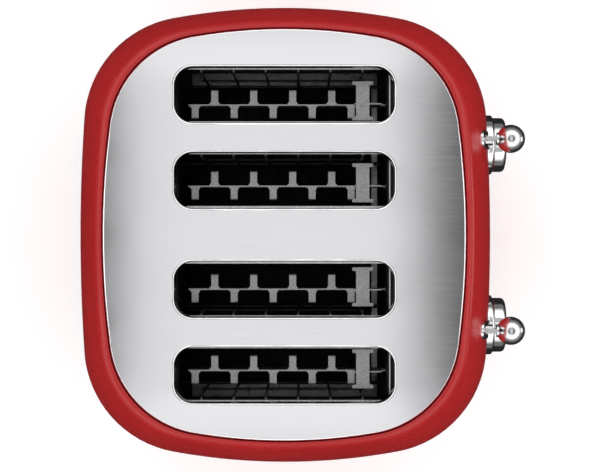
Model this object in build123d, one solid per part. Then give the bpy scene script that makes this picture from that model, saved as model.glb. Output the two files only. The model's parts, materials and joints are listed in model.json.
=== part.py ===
"""Four-slot pop-up toaster with a bulged enamelled body, a domed metal top and two lever-and-dial stations.

Millimetres, +Z up, levers towards -Y, slots side by side along X. Every sub-part is written to
parts/NODE.step. The script models with the body's centre on the Z axis, and moves everything along Y at
export, so that the origin is the middle of the footprint on the worktop, levers and tray pulls included.
"""

import math
import os

from build123d import *

# ---------------------------------------------------------------- driving dimensions
WALL = 1.2  # sheet of the enamelled body
BODY_BOTTOM_Z, RIM_Z = 16.5, 207.0
SEAT = dict(hx=135.4, hy=119.4, r_side=359.0, r_front=569.0, r_corner=66.2)  # opening that holds the top
WAIST = dict(hx=156.7, hy=141.6, r_side=429.0, r_front=1240.0, r_corner=74.6)  # body outline at t = 1
# Height against how far the wall stands out, from 0 at the top's seat to 1 at the waist outline.
PROFILE = [(16.5, 0.99), (45.0, 1.04), (78.0, 1.055), (112.0, 1.04), (142.0, 0.98), (164.0, 0.84),
           (182.0, 0.63), (196.0, 0.39), (207.0, 0.16)]
RIM_FILLET, RIM_INNER_FILLET = 7.0, 1.1
LEDGE_Z, LEDGE_WIDE = (194.6, 196.0), 4.0  # inner shelf of the rim that carries the top

TOP_APEX_Z, TOP_RADIUS, TOP_SHEET = 208.4, 2600.0, 1.2
SEAT_GAP = 0.4
SLOT_X = (35.5, 91.5)  # slot centres on one half
SLOT_WIDE, SLOT_LONG, SLOT_CORNER = 36.2, 143.2, 12.0
LIP_FILLET = 1.5

CHAMBER_X = 63.5  # centre of the pair of slots that one lever serves
CONTROL_X = 65.8  # dial and buttons
LEVER_X, BEZEL_X = 65.0, 63.9  # lever's arm and ball, and the slot the arm runs in
CHAMBER_Y = (-69.0, 73.0)  # inner faces of the two chassis plates
CHASSIS_HALF_X, CHASSIS_Z = 128.0, (9.0, 188.0)
SHEET = 1.0
CHAMBER_SLOT, CHAMBER_SLOT_OUT, CHAMBER_SLOT_Y = (34.4, 141.4, 4.0), 0.7, 1.5
CARD_PITCH, CARD_THICK, CARD_Z = 56.0, 0.6, (60.0, 188.0)
RIBBON_WIDE, RIBBON_THICK, RIBBON_ROWS = 1.6, 0.25, 11

TRAVEL = 60.0  # how far a lever goes down
ARM_Z, ARM_THICK, ARM_TALL, ARM_TIP_Y = 163.0, 2.8, 7.0, -147.5
BALL_Y, BALL_R = -152.9, 9.6
ROD_Y, ROD_R, ROD_CLEARANCE = -80.0, 2.5, 0.06
HUB_Z, HUB_FRONT_Y = (120.0, 167.0), -87.0
BAR_Y, BAR_THICK = -75.0, 1.5
MAGNET_TOP_Z = 63.7
ARMATURE_Z = (MAGNET_TOP_Z + TRAVEL + 0.3, MAGNET_TOP_Z + TRAVEL + 2.6)

LIFTER_TOP_Z, LIFTER_THICK, LIFTER_TALL, LIFTER_SHIFT = 142.0, 0.9, 20.0, -2.0
LIFTER_END_Y = 67.0
TAB_PITCH, TAB_WIDE, TAB_TIP, TAB_FIRST_Y = 26.9, 4.8, 4.4, 62.2
TAB_LONG = {1: 10.4, -1: 9.4}  # by the way the finger points
RISER_Z, RISER_Y = 153.0, (-66.0, -47.5)
SPREADER_Y, SPREADER_HALF = (-57.5, -48.4), 13.3

CAGE_OUT, CAGE_PIVOT_Z, CAGE_BEND_Z, CAGE_HOOK = 16.5, 72.0, 178.0, 8.0
WIRE_R, RAIL_R, RAIL_CLEARANCE = 0.9, 1.2, 0.08
WIRE_COUNT, WIRE_PITCH, WIRE_MID_Y = 6, 21.6, 1.9

BEZEL_WIDE, BEZEL_Z, BEZEL_PROUD = 12.2, (94.0, 183.0), 1.3
LEVER_SLOT_WIDE, LEVER_SLOT_Z = 6.0, (98.3, 178.6)
DIAL_Z, DIAL_RING_R, DIAL_RING_Y = 70.0, 21.7, -150.0
KNOB_R, KNOB_Y, SHAFT_R = 19.75, (-159.3, -150.2), 3.0
KNOB_DISH_R, NOTCH_TURN, NOTCH_R = 160.0, 59.0, 16.6
BUTTON_Z, BUTTON_STEP, BUTTON_R, BUTTON_BEZEL_R, BUTTON_GAP = 32.0, 19.0, 5.0, 7.2, 0.3
BUTTON_PROUD, BUTTON_BEZEL_PROUD = 3.6, 1.6
BOARD_Y, BOARD_THICK, BOARD_HALF_X, BOARD_Z = -116.4, 1.6, 32.0, (12.0, 92.0)

TRAY_X, TRAY_Z, TRAY_WALL, TRAY_FRONT_Y = (15.0, 111.0), (17.6, 26.0), 0.8, -64.0
TRAY_DOOR_Z, TRAY_DOOR_GAP, TRAY_DOOR_THICK = (18.0, 31.5), 0.5, 2.0
TRAY_PULL_Y = 147.5

PLATE_Z = (7.0, 9.0)  # base plate
SKIRT_Z, SKIRT_STEP, SKIRT_OFFSET, SKIRT_WALL = (4.5, 24.0), -0.3, -1.9, 1.8
FOOT_X, FOOT_Y, FOOT_R = 112.0, 96.0, 11.0
GLAND_Z, GLAND_BORE_R, GLAND_FLANGE_R, GLAND_Y = 44.0, 3.6, 9.0, (135.3, 145.9)
STUD_Y, STUD_WIDE, STUD_TALL, STUD_Z, STUD_PROUD = (-60.0, -20.0, 20.0, 60.0), 13.0, 7.0, 105.0, 2.2
SCREWS = [(140.0, 0.0), (-140.0, 0.0), (52.0, 126.5), (-52.0, 126.5), (52.0, -126.5), (-52.0, -126.5)]
SCREW_HEAD_R, SCREW_R, BOSS_R = 3.3, 1.45, 4.0

CENTRE_Y = (BALL_Y - BALL_R + TRAY_PULL_Y) / 2  # middle of the footprint, seen from the body's centre
HALVES = {"right": 1, "left": -1}
FAR = 400.0


# ---------------------------------------------------------------- helpers
def block(x, y, z):
    """A box from its ranges along X, Y and Z, in either order."""
    low = [min(x), min(y), min(z)]
    size = [abs(r[1] - r[0]) for r in (x, y, z)]
    return Pos(*low) * Box(*size, align=(Align.MIN, Align.MIN, Align.MIN))


def rod(start, end, radius):
    """A round bar between two points."""
    start, end = Vector(*start), Vector(*end)
    return Plane(origin=start, z_dir=end - start) * Cylinder(
        radius, (end - start).length, align=(Align.CENTER, Align.CENTER, Align.MIN))


def fuse(pieces):
    """One shape from several that touch or overlap."""
    pieces = list(pieces)
    return pieces[0].fuse(*pieces[1:]) if len(pieces) > 1 else pieces[0]


def outline(hx, hy, r_side, r_front, r_corner, z):
    """A face at height z, bounded by four shallow arcs and four corner arcs that meet tangentially."""
    side, front = Vector(hx - r_side, 0), Vector(0, hy - r_front)
    to_side, to_front = r_side - r_corner, r_front - r_corner
    gap = front - side
    along = (to_side**2 - to_front**2 + gap.length**2) / (2 * gap.length)
    off = math.sqrt(to_side**2 - along**2)
    unit = gap.normalized()
    corner = max((side + unit * along + Vector(-unit.Y, unit.X) * off * s for s in (1, -1)),
                 key=lambda p: p.X + p.Y)
    a = side + (corner - side).normalized() * r_side
    b = front + (corner - front).normalized() * r_front
    m = corner + ((a + b) * 0.5 - corner).normalized() * r_corner
    arcs = [
        ((a.X, -a.Y), (hx, 0), (a.X, a.Y)),
        ((a.X, a.Y), (m.X, m.Y), (b.X, b.Y)),
        ((b.X, b.Y), (0, hy), (-b.X, b.Y)),
        ((-b.X, b.Y), (-m.X, m.Y), (-a.X, a.Y)),
        ((-a.X, a.Y), (-hx, 0), (-a.X, -a.Y)),
        ((-a.X, -a.Y), (-m.X, -m.Y), (-b.X, -b.Y)),
        ((-b.X, -b.Y), (0, -hy), (b.X, -b.Y)),
        ((b.X, -b.Y), (m.X, -m.Y), (a.X, -a.Y)),
    ]
    edges = [ThreePointArc(*[(x, y, z) for x, y in arc]) for arc in arcs]
    return make_face(Wire(edges))


def section(t, z, grow=0.0):
    """The body's outline where its wall stands out by t, moved outwards by grow."""
    size = {k: SEAT[k] + t * (WAIST[k] - SEAT[k]) + grow for k in SEAT}
    return outline(z=z, **size)


def body_form(grow=0.0, top=None):
    """The solid inside the body's outer surface, moved outwards by grow."""
    sections = [section(t, z, grow) for z, t in PROFILE]
    form = loft(sections)
    return form if top is None else form & block((-FAR, FAR), (-FAR, FAR), (0, top))


def seat_prism(grow, z0, z1):
    """An upright prism on the top's seat outline."""
    return extrude(outline(z=z0, **{k: v + grow for k, v in SEAT.items()}), z1 - z0)


def slot_prism(width, length, corner, z0, z1):
    """An upright prism with a rounded slot's outline, on the origin."""
    return Pos(0, 0, z0) * extrude(RectangleRounded(width, length, corner), z1 - z0)


def front_slot(width, z_range, x):
    """A round-ended prism through the front wall, upright, centred on x."""
    tall = z_range[1] - z_range[0]
    face = Plane(origin=(x, -170, sum(z_range) / 2), x_dir=(0, 0, 1), z_dir=(0, 1, 0))
    return extrude(face * SlotOverall(tall, width), 90)


def front_rod(x, z, radius, y0, y1):
    """A round bar along Y."""
    return rod((x, y0, z), (x, y1, z), radius)


def front_wall_y(x, z_t=1.05):
    """Where the body's front surface stands at x, for the wall position z_t."""
    r = SEAT["r_front"] + z_t * (WAIST["r_front"] - SEAT["r_front"])
    hy = SEAT["hy"] + z_t * (WAIST["hy"] - SEAT["hy"])
    return -(hy - r + math.sqrt(r * r - x * x))


# ---------------------------------------------------------------- outer casing
def body_shell(outer):
    """Thin wall with a rolled rim round the top, a shelf inside the rim, and openings front and rear."""
    inner = body_form(-WALL)
    hollow = inner & block((-FAR, FAR), (-FAR, FAR), (0, RIM_Z - 5.0))
    hollow -= seat_prism(10.0, *LEDGE_Z) - seat_prism(-LEDGE_WIDE, *LEDGE_Z)
    rimmed = fillet(outer.faces().sort_by(Axis.Z)[-1].edges(), RIM_FILLET)
    shell = rimmed - hollow - seat_prism(0.0, LEDGE_Z[1], 230) - seat_prism(-LEDGE_WIDE, 150, 230)
    crest = [e for e in shell.edges() if all((e @ u).Z > RIM_Z - 0.4 for u in (0.0, 0.5, 1.0))]
    shell = fillet(crest, RIM_INNER_FILLET)
    cuts = [gland_neck(100, 170)]
    for side in HALVES.values():
        x = side * CONTROL_X
        lever_z = (LEVER_SLOT_Z[0] - 0.3, LEVER_SLOT_Z[1] + 0.3)
        cuts.append(front_slot(LEVER_SLOT_WIDE + 0.6, lever_z, side * BEZEL_X))
        cuts.append(front_rod(x, DIAL_Z, 5.0, -170, -100))
        for i in (-1, 0, 1):
            cuts.append(front_rod(x + i * BUTTON_STEP, BUTTON_Z, BUTTON_R + BUTTON_GAP, -170, -100))
        cuts.append(tray_opening(side))
    for cut in cuts:
        shell -= cut
    return shell


def tray_opening(side):
    """The hole in the rear wall that a crumb tray's door fills, with its gap all round."""
    g = TRAY_DOOR_GAP
    x = [side * (TRAY_X[0] - 2 - g), side * (TRAY_X[1] + 2 + g)]
    return block(x, (90, 170), (TRAY_DOOR_Z[0] - g, TRAY_DOOR_Z[1] + g))


def top_plate():
    """Domed sheet with a turned-down edge and a turned-down collar round each slot."""
    low = 196.0
    seam_below = Rot(0, 90, 0)
    dome = Pos(0, 0, TOP_APEX_Z - TOP_RADIUS) * seam_below * Sphere(TOP_RADIUS)
    under = Pos(0, 0, TOP_APEX_Z - TOP_SHEET - TOP_RADIUS) * seam_below * Sphere(TOP_RADIUS)
    form = seat_prism(-SEAT_GAP, low, 215) & dome
    slots = [Pos(side * x, 0, 0) for side in (1, -1) for x in SLOT_X]
    t = TOP_SHEET
    collar = slot_prism(SLOT_WIDE + 2 * t, SLOT_LONG + 2 * t, SLOT_CORNER + t, low, 215)
    pockets = seat_prism(-SEAT_GAP - t, low - 1, 215) & under
    for at in slots:
        pockets -= at * collar
    plate = form - pockets
    for at in slots:
        plate -= at * slot_prism(SLOT_WIDE, SLOT_LONG, SLOT_CORNER, low - 1, 215)
    return fillet([e for e in plate.edges() if on_dome(e, low)], LIP_FILLET)


def on_dome(edge, low):
    """True for an edge that lies in the dome's outer surface."""
    centre = Vector(0, 0, TOP_APEX_Z - TOP_RADIUS)
    points = [edge @ u for u in (0.0, 0.37, 1.0)]
    return all(abs((p - centre).length - TOP_RADIUS) < 0.01 and p.Z > low + 2 for p in points)


def lever_bezels(outer, proud):
    """A raised metal frame round each lever's slot, as thick all over as it stands proud."""
    rings = []
    for side in HALVES.values():
        x = side * BEZEL_X
        ring = front_slot(BEZEL_WIDE, BEZEL_Z, x) - front_slot(LEVER_SLOT_WIDE, LEVER_SLOT_Z, x)
        rings.append((ring & proud) - outer)
    return rings


def dial_rings(outer):
    """A round boss under each dial, flat in front and cut to the body's curve behind."""
    rings = []
    for side in HALVES.values():
        x = side * CONTROL_X
        boss = front_rod(x, DIAL_Z, DIAL_RING_R, DIAL_RING_Y, -130)
        boss = fillet(boss.edges().filter_by(GeomType.CIRCLE).sort_by(Axis.Y)[0], 1.4)
        rings.append(boss - outer - front_rod(x, DIAL_Z, SHAFT_R + 1.0, -160, -120))
    return rings


def button_places():
    """(name, x, front wall y) of each button, from the left."""
    places = []
    for name, side in HALVES.items():
        for i in (-1, 0, 1):
            x = side * CONTROL_X + i * BUTTON_STEP
            places.append((f"button_{name}_{i + 2}", x, front_wall_y(x)))
    return places


def button_bezels(outer):
    rings = []
    for _, x, wall in button_places():
        ring = front_rod(x, BUTTON_Z, BUTTON_BEZEL_R, wall - BUTTON_BEZEL_PROUD, wall + 6)
        ring = fillet(ring.edges().filter_by(GeomType.CIRCLE).sort_by(Axis.Y)[0], 0.7)
        ring -= front_rod(x, BUTTON_Z, BUTTON_R + BUTTON_GAP, wall - 10, wall + 10)
        rings.append(ring - outer)
    return rings


def side_studs(outer, proud):
    """Plain round-ended pads in a row on each side of the body."""
    pads = []
    for side in HALVES.values():
        for y in STUD_Y:
            face = Plane(origin=(side * 120, y, STUD_Z), x_dir=(0, 1, 0), z_dir=(side, 0, 0))
            pads.append((extrude(face * SlotOverall(STUD_WIDE, STUD_TALL), 60) & proud) - outer)
    return pads


def base_outline(grow, z0, z1):
    size = {k: SEAT[k] + PROFILE[0][1] * (WAIST[k] - SEAT[k]) + grow for k in SEAT}
    return extrude(outline(z=z0, **size), z1 - z0)


def base_skirt():
    """Bright band under the body, with screw bosses inside and the tray openings cut through."""
    band = base_outline(SKIRT_STEP, SKIRT_Z[0], BODY_BOTTOM_Z)
    band = fillet(band.faces().sort_by(Axis.Z)[0].edges(), 1.5)
    band += base_outline(SKIRT_OFFSET, BODY_BOTTOM_Z - 1, SKIRT_Z[1])
    skirt = band - base_outline(SKIRT_OFFSET - SKIRT_WALL, SKIRT_Z[0] - 1, SKIRT_Z[1] + 1)
    bosses = []
    for x, y in SCREWS:
        to_wall = (x + math.copysign(15, x), y) if y == 0 else (x, y + math.copysign(15, y))
        web = [sorted((x, to_wall[0])), sorted((y, to_wall[1]))]
        web = [[w[0] - 1.5, w[1] + 1.5] if w[0] == w[1] else w for w in web]
        boss = Pos(x, y, PLATE_Z[1]) * Cylinder(BOSS_R, 8, align=(Align.CENTER, Align.CENTER, Align.MIN))
        bosses.append(boss + block(web[0], web[1], (PLATE_Z[1], PLATE_Z[1] + 8)))
    skirt = fuse([skirt] + [b & base_outline(SKIRT_OFFSET - SKIRT_WALL + 0.3, *SKIRT_Z) for b in bosses])
    for x, y in SCREWS:
        skirt -= rod((x, y, 0), (x, y, 16), SCREW_R + 0.1)
    for side in HALVES.values():
        skirt -= tray_opening(side)
    return skirt


def base_plate():
    """Underside sheet with rows of cooling slots and a rolled edge that stiffens it."""
    plate = base_outline(SKIRT_OFFSET - SKIRT_WALL - 0.1, *PLATE_Z)
    for side in HALVES.values():
        for row in range(9):
            y = -48 + row * 12.0
            slot = Pos(side * CHAMBER_X, y, 0) * slot_prism(60, 3.6, 1.7, 0, 12)
            plate -= slot
    for x, y in SCREWS:
        plate -= rod((x, y, 0), (x, y, 16), SCREW_R + 0.1)
    return plate


def rubber_feet():
    feet = []
    for x in (FOOT_X, -FOOT_X):
        for y in (FOOT_Y, -FOOT_Y):
            upright = (Align.CENTER, Align.CENTER, Align.MIN)
            foot = Pos(x, y, 0) * Cone(FOOT_R - 1.2, FOOT_R, PLATE_Z[0], align=upright)
            foot = fillet(foot.edges().filter_by(GeomType.CIRCLE).sort_by(Axis.Z)[0], 0.9)
            feet.append(foot - rod((x, y, -1), (x, y, 2.0), 4.0))
    return feet


def cord_cleats():
    """Two pairs of hooks under the base that the mains lead is wound round."""
    hooks = []
    for x in (30, -30):
        for y, turn in ((78, 1), (-78, -1)):
            post = block((x - 8, x + 8), (y - 2, y + 2), (2.2, PLATE_Z[0]))
            lip = block((x - 12, x + 12), (y, y + turn * 11), (2.2, 4.2))
            hooks.append(post + lip)
    return hooks


def base_screws():
    screws = []
    for x, y in SCREWS:
        head = rod((x, y, PLATE_Z[0] - 2.2), (x, y, PLATE_Z[0]), SCREW_HEAD_R)
        head = fillet(head.edges().filter_by(GeomType.CIRCLE).sort_by(Axis.Z)[0], 0.8)
        cross = block((x - 2.2, x + 2.2), (y - 0.45, y + 0.45), (4, 6.2))
        cross += block((x - 0.45, x + 0.45), (y - 2.2, y + 2.2), (4, 6.2))
        screws.append((head - cross) + rod((x, y, PLATE_Z[0]), (x, y, 15.5), SCREW_R))
    return screws


def gland_neck(y0, y1):
    """The square neck that keeps the grommet from turning in the rear wall."""
    half = GLAND_BORE_R + 2.2
    return block((-half, half), (y0, y1), (GLAND_Z - half, GLAND_Z + half))


def cable_gland(outer):
    """Grommet in the rear wall that a mains lead passes through."""
    collar = front_rod(0, GLAND_Z, GLAND_FLANGE_R, GLAND_Y[1] - 8, GLAND_Y[1])
    collar = fillet(collar.edges().filter_by(GeomType.CIRCLE).sort_by(Axis.Y)[-1], 1.2) - outer
    nut = front_rod(0, GLAND_Z, GLAND_FLANGE_R, GLAND_Y[0], GLAND_Y[1]) & body_form(-WALL)
    core = gland_neck(*GLAND_Y)
    return fuse([core, collar, nut]) - front_rod(0, GLAND_Z, GLAND_BORE_R, 120, 170)


# ---------------------------------------------------------------- chassis and heaters
def slot_centres():
    return [side * x for side in (1, -1) for x in SLOT_X]


def cage_pivots():
    """X of every guard's pivot."""
    return [x + s * CAGE_OUT for x in slot_centres() for s in (1, -1)]


def chassis_front():
    """Front wall of both toasting chambers, with a slit for each bread lifter and a shelf for the rods."""
    y = (CHAMBER_Y[0] - SHEET, CHAMBER_Y[0])
    plate = block((-CHASSIS_HALF_X, CHASSIS_HALF_X), y, CHASSIS_Z)
    shelf = block((-100, 100), (-92, y[0]), (CHASSIS_Z[1] - 1.5, CHASSIS_Z[1]))
    low = block((-CHASSIS_HALF_X, CHASSIS_HALF_X), (y[0] - 4, y[0]), (CHASSIS_Z[0], CHASSIS_Z[0] + SHEET))
    frame = plate + shelf + low
    for x in slot_centres():
        cx = x + LIFTER_SHIFT
        bottom = LIFTER_TOP_Z - LIFTER_TALL - TRAVEL - 3
        frame -= block((cx - 1.6, cx + 1.6), (-75, -60), (bottom, LIFTER_TOP_Z + 3))
    for x in cage_pivots():
        frame -= rod((x, -75, CAGE_PIVOT_Z), (x, -60, CAGE_PIVOT_Z), RAIL_R + RAIL_CLEARANCE)
    return frame


def chassis_rear():
    """Rear wall of both chambers, open below where the crumb trays pass."""
    y = (CHAMBER_Y[1], CHAMBER_Y[1] + SHEET)
    frame = block((-CHASSIS_HALF_X, CHASSIS_HALF_X), y, CHASSIS_Z)
    frame += block((-CHASSIS_HALF_X, CHASSIS_HALF_X), (y[1], y[1] + 8), (CHASSIS_Z[0], CHASSIS_Z[0] + SHEET))
    for side in HALVES.values():
        frame -= block([side * (TRAY_X[0] - 3), side * (TRAY_X[1] + 3)], (60, 90), (17.4, TRAY_DOOR_Z[1] + 1))
    for x in cage_pivots():
        frame -= rod((x, 60, CAGE_PIVOT_Z), (x, 80, CAGE_PIVOT_Z), RAIL_R + RAIL_CLEARANCE)
    return frame


def heat_shields():
    """Upright sheets at the two outer sides and in the middle, between the chassis plates."""
    z = (TRAY_DOOR_Z[1] + 2, CHASSIS_Z[1])
    return [block((x - SHEET / 2, x + SHEET / 2), CHAMBER_Y, z) for x in (-126.5, 0.0, 126.5)]


def chamber_top():
    """Sheet over the chambers, with an opening for each slot and strips that hold the heater cards."""
    z = (CHASSIS_Z[1], CHASSIS_Z[1] + SHEET)
    sheet = block((-CHASSIS_HALF_X, CHASSIS_HALF_X), (CHAMBER_Y[0] - SHEET, CHAMBER_Y[1] + SHEET), z)
    for x in slot_centres():
        at = Pos(x + math.copysign(CHAMBER_SLOT_OUT, x), CHAMBER_SLOT_Y, 0)
        sheet -= at * slot_prism(*CHAMBER_SLOT, z[0] - 2, z[1] + 2)
    return sheet


def card_places():
    return [side * CHAMBER_X + i * CARD_PITCH for side in (1, -1) for i in (-1, 0, 1)]


def ribbon_loops(x):
    """The flat resistance ribbon's turns round one card."""
    span = (CHAMBER_Y[0] + 9, CHAMBER_Y[1] - 9)
    core = CARD_THICK / 2
    half = core + RIBBON_THICK
    loops = []
    for row in range(RIBBON_ROWS):
        z = CARD_Z[0] + 14 + row * (CARD_Z[1] - CARD_Z[0] - 34) / (RIBBON_ROWS - 1)
        tall = (z, z + RIBBON_WIDE)
        ring = block((x - half, x + half), span, tall)
        loops.append(ring - block((x - core, x + core), (span[0] + 0.6, span[1] - 0.6), tall))
    return loops


def heater_cards():
    cards = []
    for x in card_places():
        card = block((x - CARD_THICK / 2, x + CARD_THICK / 2), CHAMBER_Y, CARD_Z)
        for loop in ribbon_loops(x):
            card -= loop
        cards.append(card)
    return cards


def heater_ribbons():
    return [loop for x in card_places() for loop in ribbon_loops(x)]


def guide_rods():
    z = (PLATE_Z[1], CHASSIS_Z[1] - 1.5)
    places = [s * CHAMBER_X for s in HALVES.values()]
    return [rod((x, ROD_Y, z[0]), (x, ROD_Y, z[1]), ROD_R) for x in places]


def lift_spring(side):
    """Compression spring round the guide rod, under the carriage."""
    low, high = PLATE_Z[1], HUB_Z[0]
    wire_r, coil_r, turns = 0.5, 4.1, 14
    path = Helix((high - low) / turns, high - low, coil_r)
    start = Plane(origin=path @ 0, z_dir=path % 0)
    coil = sweep(start * Circle(wire_r), path)
    coil = Pos(side * CHAMBER_X, ROD_Y, low) * coil
    return coil & block((-FAR, FAR), (-FAR, FAR), (low, high))


def magnet_cores():
    """Upright iron cores that hold the carriage down while the toaster is on."""
    cores = []
    for s in HALVES.values():
        x = s * CHAMBER_X
        core = block((x - 8, x + 8), (-100, -90), (PLATE_Z[1] + 1.5, MAGNET_TOP_Z))
        core -= block((x - 2, x + 2), (-105, -85), (34, MAGNET_TOP_Z + 1))
        cores.append(core + block((x - 16, x + 16), (-102, -88), (PLATE_Z[1], PLATE_Z[1] + 1.5)))
    return cores


def magnet_coils():
    coils = []
    for s in HALVES.values():
        x = s * CHAMBER_X
        for leg in (-5, 5):
            wound = block((x + leg - 4.7, x + leg + 4.7), (-102.5, -87.5), (38, 58))
            coils.append(wound - block((x + leg - 3, x + leg + 3), (-100, -90), (30, 70)))
    return coils


def control_boards():
    boards = []
    for s in HALVES.values():
        x = s * CONTROL_X
        face = BOARD_Y - BOARD_THICK
        board = block((x - BOARD_HALF_X, x + BOARD_HALF_X), (face, BOARD_Y), BOARD_Z)
        foot_z = (PLATE_Z[1], BOARD_Z[0] + 6)
        feet = [block((x + d - 3, x + d + 3), (BOARD_Y, BOARD_Y + 6), foot_z) for d in (-26, 26)]
        switches = []
        for i in (-1, 0, 1):
            mid = x + i * BUTTON_STEP
            switches.append(block((mid - 3, mid + 3), (face - 4, face), (BUTTON_Z - 3, BUTTON_Z + 3)))
        relay = block((x - 28, x - 12), (BOARD_Y, BOARD_Y + 9), (50, 64))
        boards.append(fuse([board, relay] + feet + switches))
    return boards


def dial_pots():
    """Rotary control bodies on the boards, which the dials' shafts turn in."""
    pots = []
    for s in HALVES.values():
        x = s * CONTROL_X
        y = BOARD_Y - BOARD_THICK
        pots.append(front_rod(x, DIAL_Z, 8.0, y - 8, y) - front_rod(x, DIAL_Z, SHAFT_R + 0.05, y - 9, y - 3))
    return pots


def tray_rails():
    """Channels on the base plate that carry the crumb trays."""
    rails = []
    for side in HALVES.values():
        for x in TRAY_X:
            inward = 3 if x == TRAY_X[0] else -3
            z = (PLATE_Z[1], TRAY_Z[0] - 0.1)
            rails.append(block([side * x, side * (x + inward)], (-62, 72), z))
    return rails


# ---------------------------------------------------------------- moving parts
def carriage(side):
    """Slides on the guide rod and joins the lever's arm to the two bread lifters."""
    x = side * CHAMBER_X
    hub = block((x - 7, x + 7), (HUB_FRONT_Y, -73.5), HUB_Z)
    hub = fillet(hub.edges().filter_by(Axis.Z), 2.0)
    low = LIFTER_TOP_Z - LIFTER_TALL
    bar = block((x - 36, x + 34), (BAR_Y, BAR_Y + BAR_THICK), (low, LIFTER_TOP_Z - 2))
    bar = fillet(bar.edges().filter_by(Axis.Y), 3.0)
    return hub + bar - rod((x, ROD_Y, 100), (x, ROD_Y, 190), ROD_R + ROD_CLEARANCE)


def lever_arm(side):
    """Flat bar from the carriage out through the slot in the front wall, with a round tip in the ball."""
    x = side * LEVER_X
    z = (ARM_Z - ARM_TALL / 2, ARM_Z + ARM_TALL / 2)
    bar = block((x - ARM_THICK / 2, x + ARM_THICK / 2), (ARM_TIP_Y, HUB_FRONT_Y), z)
    bar = fillet(bar.edges().filter_by(Axis.Y), 0.6)
    foot = block((x - ARM_THICK / 2 - 3, x + ARM_THICK / 2 + 2), (HUB_FRONT_Y - 1.5, HUB_FRONT_Y),
                 (ARM_Z - 8, ARM_Z + ARM_TALL / 2))
    return bar + foot


def lever_ball(side):
    """Polished ball with a short neck, bored for the arm's tip."""
    x = side * LEVER_X
    ball = Pos(x, BALL_Y, ARM_Z) * Sphere(BALL_R)
    neck = front_rod(x, ARM_Z, 4.3, BALL_Y + 8.2, BALL_Y + BALL_R + 0.2)
    return ball + neck - lever_arm(side)


def armature(side):
    """Iron plate on the carriage that the magnet holds."""
    x = side * CHAMBER_X
    plate = block((x - 9, x + 9), (-101, HUB_FRONT_Y), ARMATURE_Z)
    return fillet(plate.edges().filter_by(Axis.Z), 1.0)


def tab(x, y, way):
    """A finger of the lifter: it leaves the upright strip sideways and its round tip turns down."""
    length = TAB_LONG[way]
    top = LIFTER_TOP_Z
    across = (y - TAB_WIDE / 2, y + TAB_WIDE / 2)
    flat = block((x, x + way * length), across, (top - LIFTER_THICK, top))
    tip = block((x + way * (length - LIFTER_THICK), x + way * length), across, (top - TAB_TIP, top))
    tip = fillet(tip.edges().filter_by(Axis.X).sort_by(Axis.Z)[:2], 2.0)
    root = Pos(x, y, top) * extrude(Plane.XY * Polygon(
        (0, -4.2), (0, 4.2), (way * 2.4, 2.4), (way * 2.4, -2.4), align=None), -LIFTER_THICK)
    bent = flat + tip + root
    outer_bend = bent.edges().filter_by(Axis.Y).filter_by(
        lambda e: abs(e.center().X - x - way * length) < 0.01 and abs(e.center().Z - top) < 0.01)
    return fillet(outer_bend, 0.8)


def bread_lifter(x_slot):
    """Upright strip with fingers to both sides, five one way and four the other, and a raised front."""
    x = x_slot + LIFTER_SHIFT
    t = LIFTER_THICK / 2
    tall = (LIFTER_TOP_Z - LIFTER_TALL, LIFTER_TOP_Z)
    strip = block((x - t, x + t), (BAR_Y + BAR_THICK, LIFTER_END_Y), tall)
    riser = block((x - t, x + t), RISER_Y, (LIFTER_TOP_Z - 1, RISER_Z))
    mid_y = sum(SPREADER_Y) / 2
    stem = block((x - t, x + t), (mid_y - 2, mid_y + 2), (RISER_Z, RISER_Z + SHEET))
    twisted = Pos(x, mid_y, RISER_Z + SHEET + 0.9) * Rot(0, 0, 38) * Box(2 * t, 5.4, 1.8)
    tabs = [tab(x, TAB_FIRST_Y - i * TAB_PITCH, -1) for i in range(5)]
    tabs += [tab(x, TAB_FIRST_Y - (i + 0.5) * TAB_PITCH, 1) for i in range(4)]
    return fuse([strip, riser, stem, twisted] + tabs)


def spreader(x_slot):
    """Cross plate on a lifter's raised front, with wide ends that part the guards."""
    x = x_slot + LIFTER_SHIFT
    z = (RISER_Z, RISER_Z + SHEET)
    mid_y = sum(SPREADER_Y) / 2
    plate = block((x_slot - SPREADER_HALF, x_slot + SPREADER_HALF), SPREADER_Y, z)
    ends = []
    for s in (1, -1):
        across = (x_slot + s * (SPREADER_HALF - 2.4), x_slot + s * SPREADER_HALF)
        ends.append(block(across, (mid_y - 7.2, mid_y + 7.2), z))
    whole = fuse([plate] + ends)
    whole = fillet(whole.edges().filter_by(Axis.Z), 0.7)
    t = LIFTER_THICK / 2
    return whole - block((x - t, x + t), (mid_y - 2, mid_y + 2), (z[0] - 1, z[1] + 1))


def guard_cage(x_slot, s):
    """Wire guard on the s side of a slot: upright wires on a pivot rail, hooked outwards at the top."""
    x = x_slot + s * CAGE_OUT
    hook_x = x + s * CAGE_HOOK
    first = WIRE_MID_Y - WIRE_PITCH * (WIRE_COUNT - 1) / 2
    ys = [first + i * WIRE_PITCH for i in range(WIRE_COUNT)]
    rail = rod((x, CHAMBER_Y[0] - SHEET, CAGE_PIVOT_Z), (x, CHAMBER_Y[1] + SHEET, CAGE_PIVOT_Z), RAIL_R)
    top = rod((hook_x, ys[0] - 4, CAGE_BEND_Z), (hook_x, ys[-1] + 4, CAGE_BEND_Z), WIRE_R)
    brace = rod((x + s * 1.5, ys[0] - 4, 104), (x + s * 1.5, ys[-1] + 4, 104), WIRE_R)
    pieces = [rail, top, brace]
    for y in ys:
        path = FilletPolyline((x, y, CAGE_PIVOT_Z), (x, y, CAGE_BEND_Z), (hook_x, y, CAGE_BEND_Z), radius=3.0)
        pieces.append(sweep(Plane(origin=path @ 0, z_dir=path % 0) * Circle(WIRE_R), path))
    return fuse(pieces)


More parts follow.
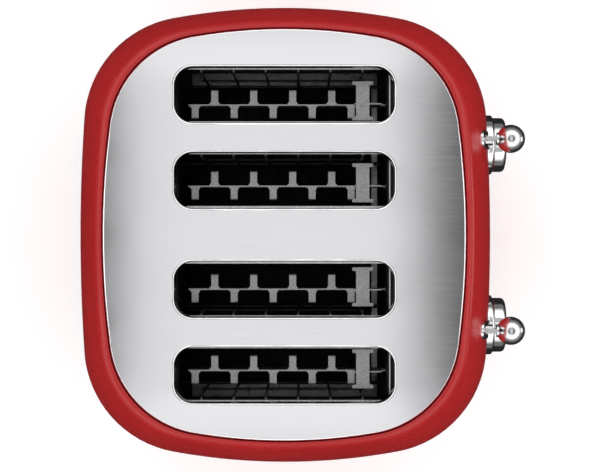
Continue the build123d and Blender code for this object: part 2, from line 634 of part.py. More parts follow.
def dial_knob(side):
    """Round bright dial with a dished face and a notch that shows the setting."""
    x = side * CONTROL_X
    knob = front_rod(x, DIAL_Z, KNOB_R, *KNOB_Y)
    front_edge, back_edge = knob.edges().filter_by(GeomType.CIRCLE).sort_by(Axis.Y)
    knob = fillet(front_edge, 3.2)
    knob = fillet(knob.edges().filter_by(GeomType.CIRCLE).sort_by(Axis.Y)[-1], 0.8)
    knob -= Pos(x, KNOB_Y[0] + 0.9 - KNOB_DISH_R, DIAL_Z) * Sphere(KNOB_DISH_R)
    notch = Pos(x, KNOB_Y[0], DIAL_Z) * Rot(0, -NOTCH_TURN, 0) * Pos(0, 0, NOTCH_R) * Box(1.5, 7, 4.6)
    return knob - notch - front_rod(x, DIAL_Z, SHAFT_R, KNOB_Y[0] + 3, KNOB_Y[1] + 1)


def dial_shaft(side):
    x = side * CONTROL_X
    return front_rod(x, DIAL_Z, SHAFT_R, KNOB_Y[0] + 3, BOARD_Y - BOARD_THICK - 3.2)


def push_button(x, wall):
    """Round cap with a thin stem that reaches the switch behind it."""
    cap = front_rod(x, BUTTON_Z, BUTTON_R, wall - BUTTON_PROUD, wall + 6)
    cap = fillet(cap.edges().filter_by(GeomType.CIRCLE).sort_by(Axis.Y)[0], 1.0)
    return cap + front_rod(x, BUTTON_Z, 1.6, wall + 5.9, BOARD_Y - BOARD_THICK - 4 - 2.7)


def crumb_tray(side, outer, inside_door):
    """Shallow pan with a door that follows the body's rear wall, and a pull along it."""
    x = (TRAY_X[0], TRAY_X[1])
    pan = block(x, (TRAY_FRONT_Y, 160), TRAY_Z)
    inside_x = (x[0] + TRAY_WALL, x[1] - TRAY_WALL)
    pan -= block(inside_x, (TRAY_FRONT_Y + TRAY_WALL, 170), (TRAY_Z[0] + TRAY_WALL, 40))
    pan &= body_form(-TRAY_DOOR_THICK + 0.2)
    door = block((x[0] - 2, x[1] + 2), (100, 170), TRAY_DOOR_Z) & outer
    door -= inside_door
    pull = block((40, 88), (132, TRAY_PULL_Y), (24.2, 26.6)) - inside_door
    pull = fillet(pull.edges().filter_by(Axis.Z).sort_by(Axis.Y)[-2:], 2.2)
    tray = fuse([pan, door, pull])
    return tray if side > 0 else mirror(tray, Plane.YZ)


# ---------------------------------------------------------------- the whole toaster
def toaster():
    """Every sub-part by node name, in place. A list is a group of separate solids."""
    outer = body_form()
    parts = {
        "body_shell": body_shell(outer),
        "top_plate": top_plate(),
        "base_skirt": base_skirt(),
        "base_plate": base_plate(),
        "rubber_feet": rubber_feet(),
        "lever_bezels": lever_bezels(outer, body_form(BEZEL_PROUD)),
        "dial_rings": dial_rings(outer),
        "button_bezels": button_bezels(outer),
        "side_studs": side_studs(outer, body_form(STUD_PROUD)),
        "cable_gland": cable_gland(outer),
        "cord_cleats": cord_cleats(),
        "base_screws": base_screws(),
        "chassis_front": chassis_front(),
        "chassis_rear": chassis_rear(),
        "heat_shields": heat_shields(),
        "chamber_top": chamber_top(),
        "heater_cards": heater_cards(),
        "heater_ribbons": heater_ribbons(),
        "guide_rods": guide_rods(),
        "magnet_cores": magnet_cores(),
        "magnet_coils": magnet_coils(),
        "control_boards": control_boards(),
        "dial_pots": dial_pots(),
        "tray_rails": tray_rails(),
    }
    inside_door = body_form(-TRAY_DOOR_THICK)
    for name, side in HALVES.items():
        parts[f"lift_spring_{name}"] = lift_spring(side)
        parts[f"carriage_{name}"] = carriage(side)
        parts[f"lever_arm_{name}"] = lever_arm(side)
        parts[f"lever_ball_{name}"] = lever_ball(side)
        parts[f"armature_{name}"] = armature(side)
        parts[f"dial_knob_{name}"] = dial_knob(side)
        parts[f"dial_shaft_{name}"] = dial_shaft(side)
        parts[f"crumb_tray_{name}"] = crumb_tray(side, outer, inside_door)
        parts[f"spreaders_{name}"] = [spreader(side * x) for x in SLOT_X]
        for place, x in zip(("inner", "outer"), SLOT_X):
            parts[f"bread_lifter_{name}_{place}"] = bread_lifter(side * x)
            for way, s in (("right", 1), ("left", -1)):
                parts[f"guard_{name}_{place}_{way}"] = guard_cage(side * x, s)
    for name, x, wall in button_places():
        parts[name] = push_button(x, wall)
    return parts


os.makedirs("parts", exist_ok=True)
for node, shape in toaster().items():
    pieces = shape if isinstance(shape, list) else [shape]
    solids = [Pos(0, -CENTRE_Y, 0) * solid for piece in pieces for solid in piece.solids()]
    export_step(Compound(solids) if len(solids) > 1 else solids[0], f"parts/{node}.step")
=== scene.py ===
"""Finishes for a four-slot pop-up toaster: paint, metals, markings, springs and a plain studio."""

import json
import math

import bpy
from bpy.props import FloatProperty, FloatVectorProperty, IntProperty, PointerProperty
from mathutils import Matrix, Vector


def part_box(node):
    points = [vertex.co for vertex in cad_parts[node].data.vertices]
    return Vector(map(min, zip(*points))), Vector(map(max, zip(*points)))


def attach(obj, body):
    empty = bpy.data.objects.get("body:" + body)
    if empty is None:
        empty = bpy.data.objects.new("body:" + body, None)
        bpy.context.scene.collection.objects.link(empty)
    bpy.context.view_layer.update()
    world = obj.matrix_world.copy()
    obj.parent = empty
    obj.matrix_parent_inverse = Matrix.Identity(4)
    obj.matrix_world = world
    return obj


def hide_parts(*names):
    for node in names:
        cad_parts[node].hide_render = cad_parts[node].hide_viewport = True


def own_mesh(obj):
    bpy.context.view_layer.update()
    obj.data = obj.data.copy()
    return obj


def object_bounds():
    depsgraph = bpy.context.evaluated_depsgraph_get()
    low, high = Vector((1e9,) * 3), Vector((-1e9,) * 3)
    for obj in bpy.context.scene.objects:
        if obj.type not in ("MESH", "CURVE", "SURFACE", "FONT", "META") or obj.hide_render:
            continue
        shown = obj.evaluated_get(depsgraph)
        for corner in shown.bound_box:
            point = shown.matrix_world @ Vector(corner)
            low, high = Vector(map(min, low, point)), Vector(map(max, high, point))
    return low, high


bl_info = {
    "name": "Pop-up Toaster Finish",
    "version": (1, 0, 0),
    "blender": (4, 5, 0),
    "location": "3D View > Sidebar > Toaster",
    "description": "Gives a packed pop-up toaster its paint, metals, markings, springs and studio",
    "category": "Object",
}

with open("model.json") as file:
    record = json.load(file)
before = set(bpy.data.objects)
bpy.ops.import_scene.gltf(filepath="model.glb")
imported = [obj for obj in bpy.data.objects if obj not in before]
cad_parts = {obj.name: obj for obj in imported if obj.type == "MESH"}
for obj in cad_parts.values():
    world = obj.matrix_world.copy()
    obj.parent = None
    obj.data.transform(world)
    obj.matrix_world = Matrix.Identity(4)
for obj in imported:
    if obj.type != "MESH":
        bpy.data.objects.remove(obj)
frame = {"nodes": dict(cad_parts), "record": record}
CAD_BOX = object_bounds()
MM = 0.001
CAMERA_OFFSET = (-0.8 * MM, -12.5 * MM)  # from the middle of the body, along X and Y
CARD_PLACE, CARD_TARGET, CARD_SIZE = (0.0, -1.6, 0.12), (0.0, -0.15, 0.12), (0.45, 0.22)
FLOOR_SIZE = 14
SIDES = ("left", "right")
SLOTS = {part["node"]: part["material_slot"] for part in frame["record"]["subparts"]}
# Brightness of the sky against (z + 1) / 2 of the way it lies, from straight down to straight up.
RING_STOPS = ((0.0, 0.012), (0.38, 0.012), (0.44, 0.10), (0.60, 0.10), (0.68, 0.45), (0.76, 0.95),
              (0.90, 0.95), (0.935, 0.07), (1.0, 0.045))
# Brightness of the strip overhead: across it against y + 0.5, and along it against x to either side.
STRIP_STOPS = ((0.322, 0.0), (0.34, 0.2), (0.356, 0.5), (0.376, 0.94), (0.39, 1.0), (0.669, 1.0),
               (0.685, 0.6), (0.70, 0.2), (0.71, 0.0))
STRIP_ALONG_STOPS = ((0.165, 0.80), (0.195, 1.0), (0.213, 1.0), (0.228, 0.45), (0.6, 0.45), (0.8, 0.0))
BUTTON_SIGNS = ("*", "O", "\u00d7")
BODIES = frame["record"]["behaviour"]["bodies"]
BODY_OF = {node: body for body, nodes in BODIES.items() for node in nodes}


# ---------------------------------------------------------------- shader expressions
class Value:
    """A shader socket in an expression: arithmetic on it adds Math nodes."""

    def __init__(self, finish, socket):
        self.finish = finish
        self.socket = socket

    def maths(self, operation, *values):
        return self.finish.add("ShaderNodeMath", {"operation": operation}, values)

    def __add__(self, other):
        return self.maths("ADD", self, other)

    def __mul__(self, other):
        return self.maths("MULTIPLY", self, other)

    def __gt__(self, other):
        return self.maths("GREATER_THAN", self, other)

    def __lt__(self, other):
        return self.maths("LESS_THAN", self, other)

    __radd__ = __add__
    __rmul__ = __mul__


class Nodes:
    """Builds the nodes of one material or world."""

    def __init__(self, tree):
        self.tree = tree

    def add(self, kind, settings, inputs, output=0):
        """A node with its settings, and its inputs as values or links, by place or by name."""
        node = self.tree.nodes.new(kind)
        for key, value in settings.items():
            if key == "stops":
                self.set_stops(node.color_ramp, value)
            else:
                setattr(node, key, value)
        named = inputs.items() if isinstance(inputs, dict) else enumerate(inputs)
        for key, value in named:
            if isinstance(value, Value):
                self.tree.links.new(value.socket, node.inputs[key])
            else:
                node.inputs[key].default_value = value
        return Value(self, node.outputs[output])

    @staticmethod
    def set_stops(ramp, stops):
        while len(ramp.elements) < len(stops):
            ramp.elements.new(0.5)
        for element, (place, grey) in zip(ramp.elements, stops):
            element.position = place
            element.color = (grey, grey, grey, 1)

    def ramp(self, value, *stops):
        """A grey that follows a value through stops of (place, grey)."""
        return self.add("ShaderNodeValToRGB", {"stops": stops}, [value])

    def mix(self, share, first, second):
        """Two colours, mixed by a share."""
        colours = [c if isinstance(c, Value) else (*c, 1) for c in (first, second)]
        node = {"data_type": "RGBA", "clamp_factor": True}
        return self.add("ShaderNodeMix", node, {0: share, 6: colours[0], 7: colours[1]}, 2)


class Finish(Nodes):
    """A material being built: one Principled surface, and the nodes that vary it."""

    def __init__(self, name, **constants):
        self.material = bpy.data.materials.new(name)
        self.material.use_nodes = True
        super().__init__(self.material.node_tree)
        self.surface = self.tree.nodes["Principled BSDF"]
        for socket, value in constants.items():
            self.surface.inputs[socket.replace("_", " ")].default_value = value

    def place(self, scale=(1, 1, 1)):
        """Object coordinates, stretched."""
        where = self.add("ShaderNodeTexCoord", {}, {}, "Object")
        return self.add("ShaderNodeMapping", {}, {"Vector": where, "Scale": scale})

    def noise(self, size, detail=2.0, stretch=(1, 1, 1), roughness=0.5):
        """Soft noise from 0 to 1 whose lumps are about size metres across."""
        scale = tuple(1 / (size * s) for s in stretch)
        inputs = {"Vector": self.place(scale), "Scale": 1.0, "Detail": detail, "Roughness": roughness}
        return self.add("ShaderNodeTexNoise", {}, inputs)

    def cells(self, size, output="Distance", stretch=(1, 1, 1), feature="F1"):
        """Irregular cells about size metres across."""
        scale = tuple(1 / (size * s) for s in stretch)
        inputs = {"Vector": self.place(scale), "Scale": 1.0}
        return self.add("ShaderNodeTexVoronoi", {"feature": feature}, inputs, output)

    def grey_level(self, colour):
        """The brightness of a colour, as a value."""
        return self.add("ShaderNodeRGBToBW", {}, [colour])

    def drive(self, socket, value):
        """Links a value to a socket of the surface."""
        self.tree.links.new(value.socket, self.surface.inputs[socket])

    def bump(self, height, depth, strength=1.0):
        """Raises the surface by height times depth metres."""
        inputs = {"Strength": strength, "Distance": depth, "Height": height}
        self.drive("Normal", self.add("ShaderNodeBump", {}, inputs))


def tint(colour, factor):
    return tuple(min(1.0, c * factor) for c in colour)


# ---------------------------------------------------------------- finishes, one for each slot of the record
def red_enamel(look):
    paint = Finish("red_enamel", Specular_IOR_Level=0.4)
    red = tuple(look.enamel_colour)
    cloud = paint.noise(0.05, 3.0)
    paint.drive("Base Color", paint.mix(cloud, tint(red, 0.92), tint(red, 1.08)))
    peel = paint.noise(0.0016, 1.0) * 0.7 + paint.noise(0.006, 1.0) * 0.3
    paint.bump(peel, 0.00004, 0.35)
    paint.drive("Roughness", 0.24 + cloud * 0.06)
    return paint.material


def brushed_steel(look):
    steel = Finish("brushed_steel", Metallic=1.0)
    grain = steel.noise(0.0004, 2.0, (1, 60, 1))
    long_grain = steel.noise(0.0015, 1.0, (1, 40, 1))
    shade = grain * 0.5 + long_grain * 0.5
    bright = tuple(look.steel_colour)
    steel.drive("Base Color", steel.mix(shade, tint(bright, 0.94), tint(bright, 1.05)))
    steel.drive("Roughness", 0.08 + shade * 0.05)
    steel.bump(grain, 0.000008, 0.25)
    return steel.material


def chrome_trim(look):
    chrome = Finish("chrome_trim", Metallic=1.0)
    haze = chrome.noise(0.012, 3.0)
    chrome.drive("Base Color", chrome.mix(haze, (0.80, 0.80, 0.81), (0.88, 0.88, 0.89)))
    chrome.drive("Roughness", 0.035 + haze * 0.05)
    chrome.bump(chrome.noise(0.004, 1.0), 0.00001, 0.2)
    return chrome.material


def satin_chrome(look):
    """Chrome dulled by handling, on the balls that fingers push."""
    chrome = Finish("satin_chrome", Metallic=1.0)
    haze = chrome.noise(0.010, 3.0)
    chrome.drive("Base Color", chrome.mix(haze, (0.78, 0.78, 0.79), (0.86, 0.86, 0.87)))
    chrome.drive("Roughness", 0.20 + haze * 0.06)
    chrome.bump(chrome.noise(0.003, 1.0), 0.00001, 0.2)
    return chrome.material


def plated_steel(look):
    plate = Finish("plated_steel", Metallic=1.0)
    cloud = plate.noise(0.008, 4.0)
    plate.drive("Base Color", plate.mix(cloud, (0.62, 0.62, 0.61), (0.80, 0.80, 0.79)))
    plate.drive("Roughness", 0.20 + cloud * 0.18)
    plate.bump(plate.noise(0.0008, 2.0, (1, 8, 1)), 0.00001, 0.4)
    return plate.material


def galvanised_steel(look):
    zinc = Finish("galvanised_steel", Metallic=0.6)
    spangle = zinc.grey_level(zinc.cells(0.0011, "Color"))
    specks = zinc.cells(0.0007) < 0.22
    fine = zinc.noise(0.0005, 3.0)
    base = zinc.mix(spangle, (0.62, 0.63, 0.62), (0.92, 0.93, 0.92))
    zinc.drive("Base Color", zinc.mix(specks * 0.75, base, (0.14, 0.14, 0.14)))
    zinc.drive("Roughness", 0.30 + spangle * 0.22)
    zinc.bump(spangle * 0.5 + fine * 0.5, 0.00002, 0.6)
    return zinc.material


def chamber_steel(look):
    """Zinc sheet, dull, painted near-black as shade for the parts that lie in shadow deep in the chamber,
    with brown stains from heating.
    """
    sheet = Finish("chamber_steel", Metallic=0.7)
    stain = sheet.noise(0.03, 4.0)
    spangle = sheet.grey_level(sheet.cells(0.004, "Color"))
    # Near-black grey: painted shade, for sheet that lies in shadow inside the chamber.
    base = sheet.mix(spangle, (0.014, 0.014, 0.015), (0.034, 0.034, 0.034))
    sheet.drive("Base Color", sheet.mix((stain > 0.55) * 0.5, base, (0.020, 0.015, 0.010)))
    sheet.drive("Roughness", 0.45 + stain * 0.25)
    sheet.bump(spangle, 0.00003, 0.4)
    return sheet.material


def rubber(look):
    foot = Finish("rubber", Roughness=0.8, Specular_IOR_Level=0.35)
    grain = foot.noise(0.0006, 3.0)
    foot.drive("Base Color", foot.mix(grain, (0.012, 0.012, 0.012), (0.035, 0.034, 0.033)))
    foot.bump(grain, 0.00005, 0.6)
    return foot.material


def black_plastic(look):
    plastic = Finish("black_plastic", Roughness=0.5)
    grain = plastic.cells(0.0007)
    plastic.drive("Base Color", plastic.mix(plastic.noise(0.01), (0.014, 0.014, 0.015), (0.03, 0.03, 0.03)))
    plastic.drive("Roughness", 0.42 + grain * 0.2)
    plastic.bump(grain, 0.00005, 0.5)
    return plastic.material


def mica(look):
    card = Finish("mica", Roughness=0.55)
    flake = card.grey_level(card.cells(0.006, "Color"))
    fine = card.noise(0.002, 4.0)
    base = card.mix(flake, (0.045, 0.048, 0.036), (0.10, 0.10, 0.075))
    card.drive("Base Color", card.mix(fine, base, (0.07, 0.062, 0.04)))
    card.drive("Roughness", 0.35 + fine * 0.35)
    card.bump(flake * 0.6 + fine * 0.4, 0.00008, 0.5)
    return card.material


def heater_alloy(look):
    ribbon = Finish("heater_alloy", Metallic=0.8)
    scale = ribbon.noise(0.003, 4.0)
    ribbon.drive("Base Color", ribbon.mix(scale, (0.10, 0.075, 0.06), (0.22, 0.20, 0.19)))
    ribbon.drive("Roughness", 0.4 + scale * 0.3)
    return ribbon.material


def soft_iron(look):
    iron = Finish("soft_iron", Metallic=1.0)
    laminate = iron.noise(0.0004, 1.0, (1, 1, 80))
    iron.drive("Base Color", iron.mix(laminate, (0.20, 0.20, 0.21), (0.38, 0.38, 0.38)))
    iron.drive("Roughness", 0.35 + laminate * 0.2)
    iron.bump(laminate, 0.00004, 0.5)
    return iron.material


def copper_winding(look):
    coil = Finish("copper_winding", Metallic=0.9, Roughness=0.3)
    wave = {"Vector": coil.place(), "Scale": 330.0}
    turns = coil.add("ShaderNodeTexWave", {"bands_direction": "Z"}, wave, "Fac")
    coil.drive("Base Color", coil.mix(turns, (0.16, 0.045, 0.015), (0.62, 0.24, 0.09)))
    coil.bump(turns, 0.0002, 0.8)
    return coil.material


def circuit_board(look):
    board = Finish("circuit_board", Roughness=0.35)
    tracks = board.cells(0.004, "Distance", (1, 1, 1.6), "DISTANCE_TO_EDGE") < 0.07
    board.drive("Base Color", board.mix(tracks, (0.012, 0.10, 0.035), (0.03, 0.20, 0.08)))
    board.bump(tracks, 0.00004, 0.5)
    return board.material


def printed_ink():
    ink = Finish("printed_ink", Specular_IOR_Level=0.3)
    wear = ink.noise(0.0008, 2.0)
    ink.drive("Base Color", ink.mix(wear, (0.80, 0.80, 0.79), (0.90, 0.90, 0.89)))
    ink.drive("Roughness", 0.40 + wear * 0.15)
    return ink.material


def spring_wire(look):
    wire = Finish("spring_wire", Metallic=0.95)
    scale = wire.noise(0.004, 3.0)
    # Dark grey, darker than bare spring steel: painted shade, for the guard wires that lie in shadow in the
    # chamber; the lumps are random tone.
    wire.drive("Base Color", wire.mix(scale, (0.07, 0.07, 0.068), (0.16, 0.16, 0.155)))
    wire.drive("Roughness", 0.28 + scale * 0.25)
    return wire.material


FINISHES = {
    "red_enamel": red_enamel,
    "brushed_steel": brushed_steel,
    "chrome_trim": chrome_trim,
    "plated_steel": plated_steel,
    "galvanised_steel": galvanised_steel,
    "rubber": rubber,
    "black_plastic": black_plastic,
    "mica": mica,
    "heater_alloy": heater_alloy,
    "soft_iron": soft_iron,
    "copper_winding": copper_winding,
    "circuit_board": circuit_board,
    "spring_wire": spring_wire,
}
# Nodes whose look differs from their slot's: chamber parts painted near-black as shade, and balls dulled by
# handling.
SHADED_AND_WORN_NODES = {node: "chamber_steel" for node in (
    "chassis_front", "chassis_rear", "heat_shields", "crumb_tray_left", "crumb_tray_right", "tray_rails")}
SHADED_AND_WORN_NODES.update({f"lever_ball_{side}": "satin_chrome" for side in SIDES})


# ---------------------------------------------------------------- modelling helpers
def only(obj):
    """Makes obj the one selected and active object."""
    bpy.ops.object.select_all(action="DESELECT")
    obj.select_set(True)
    bpy.context.view_layer.objects.active = obj


def apply_modifier(obj, kind, **settings):
    """Adds a modifier with its settings, and applies it."""
    only(obj)
    bpy.ops.object.modifier_add(type=kind)
    modifier = obj.modifiers[-1]
    for key, value in settings.items():
        setattr(modifier, key, value)
    bpy.ops.object.modifier_apply(modifier=modifier.name)


def settle(obj, name):
    """Puts a finished piece's object at the origin, with its place in its mesh, and names it."""
    only(obj)
    bpy.ops.object.transform_apply(location=True, rotation=True, scale=True)
    obj.name = name
    obj.data.name = name
    return obj


def middle(node):
    """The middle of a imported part's box."""
    low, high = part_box(node)
    return (low + high) / 2


def dress(obj, material, body):
    """Gives a new piece its material and the body it rides on."""
    obj.data.materials.clear()
    obj.data.materials.append(material)
    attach(obj, body)


# ---------------------------------------------------------------- settings
class ToasterLook(bpy.types.PropertyGroup):
    """Colours of the main finishes."""

    enamel_colour: FloatVectorProperty(
        name="Enamel", description="Colour of the painted body", subtype="COLOR", min=0, max=1,
        default=(0.44, 0.010, 0.012))
    steel_colour: FloatVectorProperty(
        name="Steel top", description="Colour of the satin steel top", subtype="COLOR", min=0, max=1,
        default=(0.80, 0.80, 0.82))


class ToasterSprings(bpy.types.PropertyGroup):
    """Sizes of the two return springs."""

    wire_radius: FloatProperty(
        name="Wire radius", description="Radius of the spring wire", unit="LENGTH", default=0.5 * MM)
    turns: IntProperty(name="Turns", description="Number of turns in each spring", default=14, min=3)
    compressed_share: FloatProperty(
        name="Compressed share", description="Length with the lever down, as a share of the free length",
        subtype="FACTOR", default=0.46, min=0.1, max=1.0)


class ToasterMarkings(bpy.types.PropertyGroup):
    """Numbers round the dials and signs over the buttons, printed on the enamel."""

    numbers: IntProperty(name="Numbers", description="How many settings a dial has", default=6, min=2, max=9)
    sweep: FloatProperty(
        name="Sweep", description="Angle from the first number to the last", subtype="ANGLE",
        default=math.radians(270))
    ring_radius: FloatProperty(
        name="Ring radius", description="Radius of the ring of numbers", unit="LENGTH", default=27.5 * MM)
    height: FloatProperty(name="Height", description="Height of a number", unit="LENGTH", default=5.6 * MM)
    sign_rise: FloatProperty(
        name="Sign rise", description="How far a sign stands over its button", unit="LENGTH",
        default=11.5 * MM)
    ink_thickness: FloatProperty(
        name="Ink", description="Thickness of the print", unit="LENGTH", default=0.06 * MM)


class ToasterStage(bpy.types.PropertyGroup):
    """Floor, light and camera."""

    camera_height: FloatProperty(
        name="Camera height", description="Height of the camera above the steel top", unit="LENGTH",
        default=1.093)
    lens: FloatProperty(name="Lens", description="Focal length of the camera in millimetres", default=99.7)
    floor_colour: FloatVectorProperty(
        name="Floor", description="Colour of the floor", subtype="COLOR", min=0, max=1,
        default=(0.95, 0.955, 0.955))
    floor_glow: FloatProperty(name="Floor glow", description="Light that the floor gives off", default=0.24)
    ring_strength: FloatProperty(
        name="Ring light", description="Strength of the soft ring overhead", default=2.25)
    strip_strength: FloatProperty(
        name="Strip light", description="Strength of the strip overhead", default=1.46)
    front_power: FloatProperty(name="Front card", description="Power of the small front light", default=1.5)


# ---------------------------------------------------------------- operators
class TOASTER_OT_finish_casing(bpy.types.Operator):
    """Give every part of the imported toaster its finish"""

    bl_idname = "toaster.finish_casing"
    bl_label = "Finish All Parts"

    def execute(self, context):
        look = context.scene.toaster_look
        made = {slot: build(look) for slot, build in FINISHES.items()}
        made.update(chamber_steel=chamber_steel(look), satin_chrome=satin_chrome(look))
        for node, obj in frame["nodes"].items():
            obj.data.materials.clear()
            obj.data.materials.append(made[SHADED_AND_WORN_NODES.get(node, SLOTS[node])])
        return {"FINISHED"}


class TOASTER_OT_return_springs(bpy.types.Operator):
    """Wind the two return springs in place of the spring parts, on the bodies those parts ride on"""

    bl_idname = "toaster.return_springs"
    bl_label = "Wind Return Springs"

    def execute(self, context):
        springs = context.scene.toaster_springs
        for side in SIDES:
            node = f"lift_spring_{side}"
            low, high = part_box(node)
            centre = middle(node)
            coil_radius = (high.x - low.x) / 2 - springs.wire_radius
            height = high.z - low.z - 2 * springs.wire_radius
            bpy.ops.object.select_all(action="DESELECT")
            bpy.ops.mesh.primitive_circle_add(
                vertices=10, radius=springs.wire_radius, location=(coil_radius, 0, 0),
                rotation=(math.pi / 2, 0, 0))
            coil = bpy.context.active_object
            settle(coil, f"return_spring_{side}")
            apply_modifier(coil, "SCREW", axis="Z", angle=math.tau, screw_offset=height / springs.turns,
                           iterations=springs.turns, steps=22, render_steps=22, use_merge_vertices=False)
            coil.location = (centre.x, centre.y, low.z + springs.wire_radius)
            settle(coil, f"return_spring_{side}")
            only(coil)
            bpy.ops.object.mode_set(mode="EDIT")
            bpy.ops.mesh.select_all(action="SELECT")
            bpy.ops.mesh.fill_holes(sides=0)
            bpy.ops.mesh.normals_make_consistent(inside=False)
            bpy.ops.object.mode_set(mode="OBJECT")
            bpy.ops.object.shade_smooth_by_angle(angle=math.radians(50))
            dress(coil, bpy.data.materials["spring_wire"], BODY_OF[node])
            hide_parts(node)
            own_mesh(coil)
        return {"FINISHED"}


class TOASTER_OT_markings(bpy.types.Operator):
    """Print numbers round each dial and a plain sign over each button"""

    bl_idname = "toaster.markings"
    bl_label = "Print Markings"

    def execute(self, context):
        marks = context.scene.toaster_markings
        ink = printed_ink()
        for side in SIDES:
            dial = middle(f"dial_knob_{side}")
            glyphs = []
            for index in range(marks.numbers):
                turn = marks.sweep * (index / (marks.numbers - 1) - 0.5)
                x = dial.x + math.sin(turn) * marks.ring_radius
                z = dial.z + math.cos(turn) * marks.ring_radius
                glyphs.append(self.glyph(str(index + 1), marks.height, x, z))
            for index, sign in enumerate(BUTTON_SIGNS):
                cap = middle(f"button_{side}_{index + 1}")
                glyphs.append(self.glyph(sign, marks.height, cap.x, cap.z + marks.sign_rise))
            self.print_on_shell(glyphs, f"markings_{side}", ink, marks.ink_thickness)
        return {"FINISHED"}

    def glyph(self, sign, height, x, z):
        """One flat sign in front of the body, facing away from it."""
        bpy.ops.object.select_all(action="DESELECT")
        bpy.ops.object.text_add(location=(x, CAD_BOX[0].y, z), rotation=(math.pi / 2, 0, 0))
        text = bpy.context.active_object
        text.data.body = sign
        text.data.size = height
        text.data.align_x = "CENTER"
        text.data.align_y = "CENTER"
        bpy.ops.object.convert(target="MESH")
        return bpy.context.active_object

    def print_on_shell(self, glyphs, name, ink, thickness):
        """Joins the signs, lays them on the body's surface and gives them the ink's thickness."""
        only(glyphs[0])
        for glyph in glyphs:
            glyph.select_set(True)
        bpy.ops.object.join()
        piece = settle(bpy.context.active_object, name)
        shell = frame["nodes"]["body_shell"]
        apply_modifier(piece, "SHRINKWRAP", target=shell, wrap_method="PROJECT", use_project_y=True,
                       use_positive_direction=True, offset=thickness / 4)
        apply_modifier(piece, "WELD", merge_threshold=thickness / 10)
        apply_modifier(piece, "SOLIDIFY", thickness=thickness, offset=1.0)
        only(piece)
        bpy.ops.object.mode_set(mode="EDIT")
        bpy.ops.mesh.select_all(action="SELECT")
        bpy.ops.mesh.normals_make_consistent(inside=False)
        bpy.ops.object.mode_set(mode="OBJECT")
        dress(piece, ink, BODY_OF["body_shell"])


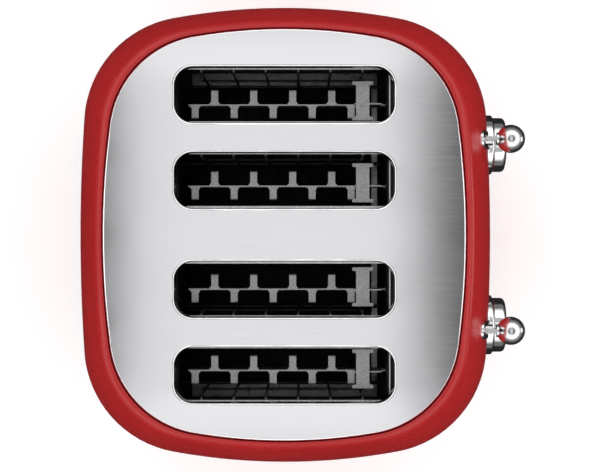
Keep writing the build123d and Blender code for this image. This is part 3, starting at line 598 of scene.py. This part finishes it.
class TOASTER_OT_stage(bpy.types.Operator):
    """Set the floor, the soft light and the camera"""

    bl_idname = "toaster.stage"
    bl_label = "Set Stage"

    def execute(self, context):
        stage = context.scene.toaster_stage
        self.lay_floor(stage)
        self.light(stage)
        self.aim_camera(context, stage)
        context.scene.view_settings.view_transform = "Standard"
        return {"FINISHED"}

    def lay_floor(self, stage):
        bpy.ops.object.select_all(action="DESELECT")
        bpy.ops.mesh.primitive_plane_add(size=FLOOR_SIZE)
        floor = bpy.context.active_object
        floor.name = "floor"
        paper = Finish("floor_paper", Roughness=0.9, Specular_IOR_Level=0.0, Emission_Color=(1, 1, 1, 1),
                       Emission_Strength=stage.floor_glow)
        shade = tuple(stage.floor_colour)
        paper.drive("Base Color", paper.mix(paper.noise(0.3), tint(shade, 0.99), tint(shade, 1.01)))
        floor.data.materials.append(paper.material)
        floor.visible_glossy = False

    def light(self, stage):
        """A soft ring and a long soft strip overhead, dark round the horizon."""
        world = bpy.data.worlds.new("studio")
        bpy.context.scene.world = world
        world.use_nodes = True
        sky = Nodes(world.node_tree)
        where = sky.add("ShaderNodeTexCoord", {}, {}, "Generated")
        x, y, z = (sky.add("ShaderNodeSeparateXYZ", {}, [where], axis) for axis in "XYZ")
        ring = sky.ramp(z * 0.5 + 0.5, *RING_STOPS) * stage.ring_strength
        across = sky.ramp(y + 0.5, *STRIP_STOPS)
        along = sky.ramp(x.maths("ABSOLUTE", x), *STRIP_ALONG_STOPS)
        strip = across * along * stage.strip_strength * (z > 0.4)
        strength = ring.maths("MAXIMUM", ring, strip)
        soft = sky.add("ShaderNodeBackground", {}, {"Strength": strength})
        backdrop = sky.add("ShaderNodeBackground", {}, {"Color": (0.93, 0.93, 0.93, 1)})
        seen = sky.add("ShaderNodeLightPath", {}, {}, "Is Camera Ray")
        both = sky.add("ShaderNodeMixShader", {}, [seen, soft, backdrop])
        sky.tree.links.new(both.socket, sky.tree.nodes["World Output"].inputs[0])
        self.add_area("front_card", CARD_PLACE, CARD_TARGET, CARD_SIZE, stage.front_power)

    def add_area(self, name, place, target, size, power):
        """An area light at place that points at target."""
        lamp = bpy.data.lights.new(name, "AREA")
        lamp.shape = "RECTANGLE"
        lamp.size, lamp.size_y = size
        lamp.energy = power
        light = bpy.data.objects.new(name, lamp)
        light.location = place
        light.rotation_euler = (Vector(target) - Vector(place)).to_track_quat("-Z", "Y").to_euler()
        bpy.context.scene.collection.objects.link(light)

    def aim_camera(self, context, stage):
        top_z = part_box("top_plate")[1].z
        lens = bpy.data.cameras.new("camera")
        lens.lens = stage.lens
        lens.clip_end = 100
        camera = bpy.data.objects.new("camera", lens)
        camera_y = middle("body_shell").y + CAMERA_OFFSET[1]
        camera.location = (CAMERA_OFFSET[0], camera_y, top_z + stage.camera_height)
        camera.rotation_euler = (0, 0, -math.pi / 2)
        bpy.context.scene.collection.objects.link(camera)
        context.scene.camera = camera


class TOASTER_PT_panel(bpy.types.Panel):
    """Lists the steps that finish the toaster"""

    bl_label = "Pop-up Toaster"
    bl_idname = "TOASTER_PT_panel"
    bl_space_type = "VIEW_3D"
    bl_region_type = "UI"
    bl_category = "Toaster"

    def draw(self, context):
        for group in GROUPS:
            settings = getattr(context.scene, group)
            box = self.layout.box()
            for name in settings.__annotations__:
                box.prop(settings, name)
        for operator in STEPS:
            self.layout.operator(operator.bl_idname)


GROUPS = {
    "toaster_look": ToasterLook,
    "toaster_springs": ToasterSprings,
    "toaster_markings": ToasterMarkings,
    "toaster_stage": ToasterStage,
}
STEPS = (TOASTER_OT_finish_casing, TOASTER_OT_return_springs, TOASTER_OT_markings, TOASTER_OT_stage)


def register():
    for group in (*GROUPS.values(), *STEPS, TOASTER_PT_panel):
        bpy.utils.register_class(group)
    for name, group in GROUPS.items():
        setattr(bpy.types.Scene, name, PointerProperty(type=group))


def unregister():
    for name in GROUPS:
        delattr(bpy.types.Scene, name)
    for group in (TOASTER_PT_panel, *reversed(STEPS), *reversed(list(GROUPS.values()))):
        bpy.utils.unregister_class(group)


def main():
    register()
    bpy.ops.toaster.finish_casing()
    bpy.ops.toaster.return_springs()
    bpy.ops.toaster.markings()
    bpy.ops.toaster.stage()


if __name__ == "__main__":
    main()
